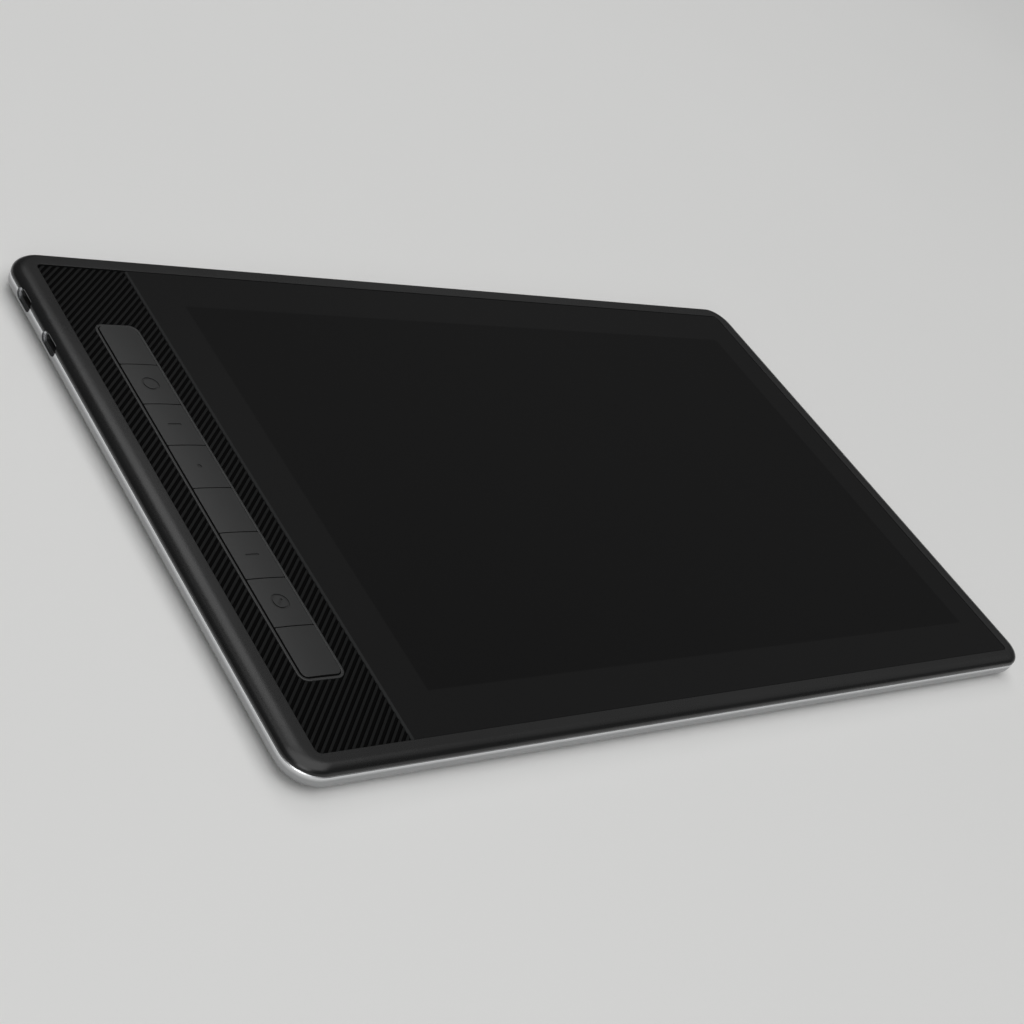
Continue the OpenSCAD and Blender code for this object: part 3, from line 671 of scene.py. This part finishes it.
# %% [markdown]
# ## The cover glass
# The glass is a plate with round outer corners and a fine ground edge.
# Beside the key strip its edge is ground wider: that flat bevel is the thin light line in the photograph,
# helped by a painted highlight in its finish.
# The wide bevel is cut first, in one step so that it stays flat, and the fine one follows elsewhere.

# %% Cover glass
glass_r, glass_bevel = 1.9 * MM, 0.2 * MM


def raise_face(shape, rise):
    grown = bmesh.ops.extrude_face_region(shape, geom=shape.faces[:])["geom"]
    risen = [v for v in grown if isinstance(v, bmesh.types.BMVert)]
    bmesh.ops.translate(shape, vec=(0, 0, rise), verts=risen)
    bmesh.ops.recalc_face_normals(shape, faces=shape.faces)


def glass_shape(low, high):
    shape = bmesh.new()
    size, centre = high - low, middle((low, high))
    corners = rectangle(shape, size.x, size.y, centre.x, centre.y, low.z)
    round_corners(shape, [v for v in corners if v.co.x > centre.x], glass_r, 8)
    raise_face(shape, size.z)
    joint = [e for e in edges_at(shape, high.z) if all(v.co.x < low.x + touch for v in e.verts)]
    soften(shape, joint, joint_bevel, 1)
    past_joint = low.x + 2 * joint_bevel
    others = [e for e in edges_at(shape, high.z) if any(v.co.x > past_joint for v in e.verts)]
    return soften(shape, others, glass_bevel, 2)


piece(glass_shape(*glass_box), "glass_plate", screen_glass, stands_for=["cover_glass"])

# %% [markdown]
# ## Key strip
# The ribbed strip comes from the CAD model as it is, because its ribs are flat-sided and crisp.
# The surround is a slim ring that guides the keys, lofted from eight loops with softened rims.
# Its rim lies a little below the key tops, so the keys stand proud of it and cover the gap on their right.

# %% Strip and surround
ring_r, ring_wall, ring_drop = 3.4 * MM, 1.0 * MM, 0.3 * MM
rim, rim_turn = 0.2 * MM, 0.06 * MM
ring_low, ring_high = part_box("key_surround")
ring_w, ring_d = ring_high.x - ring_low.x, ring_high.y - ring_low.y
ring_x, ring_y = middle((ring_low, ring_high)).xy
ring_top = ring_high.z - ring_drop


def dress(name, finish):
    nodes[name].data.materials.clear()
    nodes[name].data.materials.append(finish.material)


def ring_loop(shape, inset, z):
    return loop(shape, ring_w - 2 * inset, ring_d - 2 * inset, ring_r - inset, z, ring_x, ring_y)


dress("key_panel", strip_black)
ring = bmesh.new()
outer_rim = ((0, ring_low.z), (0, ring_top - rim), (rim_turn, ring_top - rim_turn), (rim, ring_top))
ring_section = outer_rim + tuple((ring_wall - inset, z) for inset, z in outer_rim[::-1])
loft(ring, [ring_loop(ring, inset, z) for inset, z in ring_section], closed=True)
piece(ring, "surround_ring", trim_grey, stands_for=["key_surround"])

# %% [markdown]
# ## Keys
# The keys are low caps in one row, and only the outer corners of the two end keys are round.
# A grid face gets its corners by vertex bevels, is extruded up and then softened along its top edges.
# For the crown, planes cut the top into narrow facets.
# Each of their points then sinks with the square of its distance from the middle of the key.

# %% Key caps
key_r, square_r, key_edge = 2.1 * MM, 0.5 * MM, 0.1 * MM
flange_t, crown_cuts = 0.6 * MM, 7


def crowned(shape, top):
    for k in range(1, crown_cuts + 1):
        cut = (key_x - key_half + 2 * key_half * k / (crown_cuts + 1), 0, 0)
        everything = shape.verts[:] + shape.edges[:] + shape.faces[:]
        bmesh.ops.bisect_plane(shape, geom=everything, plane_co=cut, plane_no=(1, 0, 0))
    for v in shape.verts:
        if v.co.z > top - 1.5 * key_edge:
            v.co.z -= crown * ((v.co.x - key_x) / key_half) ** 2
    return shape


def key_shape(low, high, round_far, round_near):
    cap_low, cap_w = low.z + flange_t, high.x - low.x - 2 * flange_reach
    spot, size = middle((low, high)), high - low
    shape = bmesh.new()
    corners = rectangle(shape, cap_w, size.y, spot.x, spot.y, cap_low)
    ends = [v for v in corners if (round_far if v.co.y > spot.y else round_near)]
    plain = [v for v in corners if v not in ends]
    for group, r in ((ends, key_r), (plain, square_r)):
        if group:
            round_corners(shape, group, r, 6)
    raise_face(shape, high.z - cap_low)
    return crowned(soften(shape, edges_at(shape, high.z), key_edge), high.z)


print("a key cap is, mm:", round(2 * key_half / MM, 2), "wide, crowned in", crown_cuts + 1, "facets")

# %% [markdown]
# Shallow marks tell the keys apart by touch: rings, dashes and a point.
# They could be drawn in the finish, but a mark has walls that catch light, so small tools carve it.

# %% Marks for the keys
mark_line, mark_ring, mark_dash = 0.8 * MM, 6.2 * MM, 5 * MM


def mark_ring_tool(low, high):
    shape = bmesh.new()
    inside = mark_ring - 2 * mark_line
    section = ((mark_ring, low), (mark_ring, high), (inside, high), (inside, low))
    loops = [loop(shape, d, d, full_round * d, z, steps=12) for d, z in section]
    return loft(shape, loops, closed=True)


def mark_bar_tool(length, turn, low, high):
    shape = pill(length, mark_line, low, high)
    bmesh.ops.rotate(shape, matrix=Matrix.Rotation(math.radians(turn), 3, "Z"), verts=shape.verts)
    return shape


def mark_tools(number, spot, top):
    depth = (top - mark_depth, top + mark_depth)
    tools = []
    if number in (2, 7):
        tools.append(mark_ring_tool(*depth))
    if number in (3, 6):
        tools.append(mark_bar_tool(mark_dash, 0, *depth))
    if number == 4:
        tools.append(pill(2 * mark_line, 2 * mark_line, *depth))
    if number == 7:
        tools.append(mark_bar_tool(mark_ring / 2, 45, *depth))
    return [shifted(tool, spot.x, spot.y) for tool in tools]


print("marks, mm: ring", round(mark_ring / MM, 1), "dash", round(mark_dash / MM, 1), "line", mark_line / MM)

# %% [markdown]
# Each key moves by itself, so each cap is a piece on its own body, and its CAD key gives its place and size.
# Plain keys have no tool and skip the carving.

# %% Eight keys
key_count = 8
for number in range(1, key_count + 1):
    name = f"key_{number}"
    low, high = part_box(name)
    cap = key_shape(low, high, number == 1, number == key_count)
    tools = mark_tools(number, middle((low, high)), high.z)
    cap = carve(cap, *tools) if tools else cap
    piece(cap, f"key_cap_{number}", key_grey, body=name, stands_for=[name])

# %% [markdown]
# ## Sockets
# Each socket is a drawn steel sleeve with a rounded lip, a dark tongue in it and rows of gold contacts.
# The sleeve is lofted along its own axis, lip included, and then turned to face the left side.
# The contacts are too thin to model by hand, so one small block is laid down again and again.

# %% Sockets
tongue_w, tongue_t, tongue_edge = 6.7 * MM, 0.7 * MM, 0.15 * MM
tongue_set, tongue_clear = 1.45 * MM, 0.2 * MM
contact_set, contact_len, contact_t = 0.5 * MM, 3 * MM, 0.04 * MM


def sleeve(w, h, depth, sheet=0.3 * MM, lip=0.1 * MM):
    shape = bmesh.new()
    section = ((0, depth), (0, lip), (lip, 0), (sheet - 0.5 * lip, 0), (sheet, lip), (sheet, depth - sheet))
    return loft(shape, [loop(shape, w - 2 * i, h - 2 * i, full_round * (h - 2 * i), z) for i, z in section])


def tongue(w, h, low, high):
    shape = prism(w, h, tongue_edge, low, high)
    return soften(shape, edges_at(shape, low), tongue_edge, 2)


def contacts(w, h, low, length, count=12):
    shape = bmesh.new()
    pitch = w / count
    size = Matrix.Diagonal((0.5 * pitch, contact_t, length, 1))
    for side in (-1, 1):
        for k in range(count):
            at = Matrix.Translation(((k + 0.5) * pitch - w / 2, side * h / 2, low + length / 2))
            bmesh.ops.create_cube(shape, size=1, matrix=at @ size)
    return shape


for side, box in ports.items():
    size = box[1] - box[0]
    shell = sleeve(size.y, size.z, size.x)
    blade = tongue(tongue_w, tongue_t, tongue_set, size.x - tongue_clear)
    gilding = contacts(0.9 * tongue_w, tongue_t, tongue_set + contact_set, contact_len)
    for shape in (shell, blade, gilding):
        turned_to(shape, facing_left, mouth_of(box))
    piece(shell, "socket_sleeve_" + side, port_steel, stands_for=["usb_port_" + side])
    piece(blade, "socket_tongue_" + side, tongue_black)
    piece(gilding, "socket_contacts_" + side, contact_gold)

# %% [markdown]
# ## Power button
# The button is a bar with round ends that fills its hole in the far side, a hair below the surface.
# It moves on its own body, so it is a piece of its own. Its flange and stem are hidden, and left out here.

# %% Power button
bar_w, bar_h, bar_edge, flange_gap = 10 * MM, 2.4 * MM, 0.3 * MM, 0.1 * MM
flange_set = button_box[1].y - (body_high.y - wall - flange_gap)
bar = pill(bar_w, bar_h, 0, flange_set)
soften(bar, edges_at(bar, 0), bar_edge)
turned_to(bar, facing_far, Vector((middle(button_box).x, button_box[1].y, middle(button_box).z)))
piece(bar, "button_bar", frame_black, body="power_button", stands_for=["power_button"])

# %% [markdown]
# ## Inside the shells
# The screen stack, the boards, ribbons and screws are closed in, and keep their CAD shapes.
# They still get honest finishes, so that an opened copy of the model looks right:
# green boards with faint copper under the mask, clear and white sheets, amber ribbon and plain metal.

# %% Inner finishes
track_pitch, polished = 3.2 * MM, 0.001 * MM


def printed_board(name):
    finish = Finish(name, Roughness=0.42)
    tracks = finish.node("ShaderNodeTexVoronoi", {"distance": "MANHATTAN", "feature": "DISTANCE_TO_EDGE"},
                         {"Vector": finish.place(), "Scale": 1 / track_pitch})
    copper = (1 - tracks * 14).clamped()
    finish.feed("Base Color", finish.blend(copper, (0.012, 0.070, 0.036), (0.030, 0.115, 0.060)))
    finish.relief(copper, 0.02 * MM)
    return finish


inner = {
    "board_green": printed_board("inner_board_green"),
    "seal_tape": moulded("inner_seal_tape", grey(0.012), grey(0.020), 0.8, 0.4 * MM, 0.03 * MM),
    "clear_bond": moulded("inner_clear_bond", (0.70, 0.73, 0.75), (0.78, 0.80, 0.82), 0.1, Alpha=0.3),
    "panel_glass": moulded("inner_panel_glass", (0.010, 0.011, 0.012), (0.016, 0.017, 0.019), 0.06,
                           depth=polished),
    "white_film": moulded("inner_white_film", (0.78, 0.78, 0.75), (0.85, 0.85, 0.82), 0.5),
    "guide_acrylic": moulded("inner_guide_acrylic", (0.72, 0.77, 0.79), (0.80, 0.84, 0.86), 0.08,
                             depth=polished),
    "led_yellow": moulded("inner_led_yellow", (0.74, 0.66, 0.32), (0.84, 0.76, 0.42), 0.3),
    "tray_white": moulded("inner_tray_white", (0.66, 0.67, 0.68), (0.74, 0.75, 0.76), 0.35),
    "plate_aluminium": metal("inner_plate_aluminium", (0.48, 0.49, 0.50), (0.56, 0.57, 0.58), 0.3,
                             0.2 * MM, 0.004 * MM, (0.04, 1, 1)),
    "chip_black": moulded("inner_chip_black", (0.014, 0.014, 0.015), (0.022, 0.022, 0.024), 0.5),
    "connector_ivory": moulded("inner_connector_ivory", (0.62, 0.59, 0.50), (0.72, 0.69, 0.60), 0.4),
    "silicone": moulded("inner_silicone", (0.56, 0.58, 0.56), (0.64, 0.66, 0.64), 0.5),
    "ribbon_amber": moulded("inner_ribbon_amber", (0.40, 0.20, 0.045), (0.50, 0.27, 0.07), 0.32),
    "screw_steel": metal("inner_screw_steel", (0.32, 0.33, 0.34), (0.40, 0.41, 0.42), 0.3,
                         0.1 * MM, 0.002 * MM),
}
inside = [row for row in frame["record"]["subparts"] if row["material_slot"] in inner]
for row in inside:
    dress(row["node"], inner[row["material_slot"]])
print("dressed inside:", len(inside), "nodes")

# %% [markdown]
# ## The floor
# The tablet lies on a plain pale floor, which isn't part of it.
# It is one large grid face, and a faint mottle keeps it from looking computed.

# %% Floor
floor_half, mottle = 15, 0.4
floor_pale = Finish("floor_pale", Roughness=0.7)
mottled = floor_pale.blend(floor_pale.noise(mottle, 3.0), (0.84, 0.84, 0.83), (0.87, 0.87, 0.86))
floor_pale.feed("Base Color", mottled)
floor_shape = bmesh.new()
bmesh.ops.create_grid(floor_shape, x_segments=1, y_segments=1, size=floor_half)
floor_mesh = bpy.data.meshes.new("floor")
floor_shape.to_mesh(floor_mesh)
floor_shape.free()
floor_mesh.materials.append(floor_pale.material)
floor = bpy.data.objects.new("floor", floor_mesh)
scene.collection.objects.link(floor)
print("floor, m:", 2 * floor_half, "square")
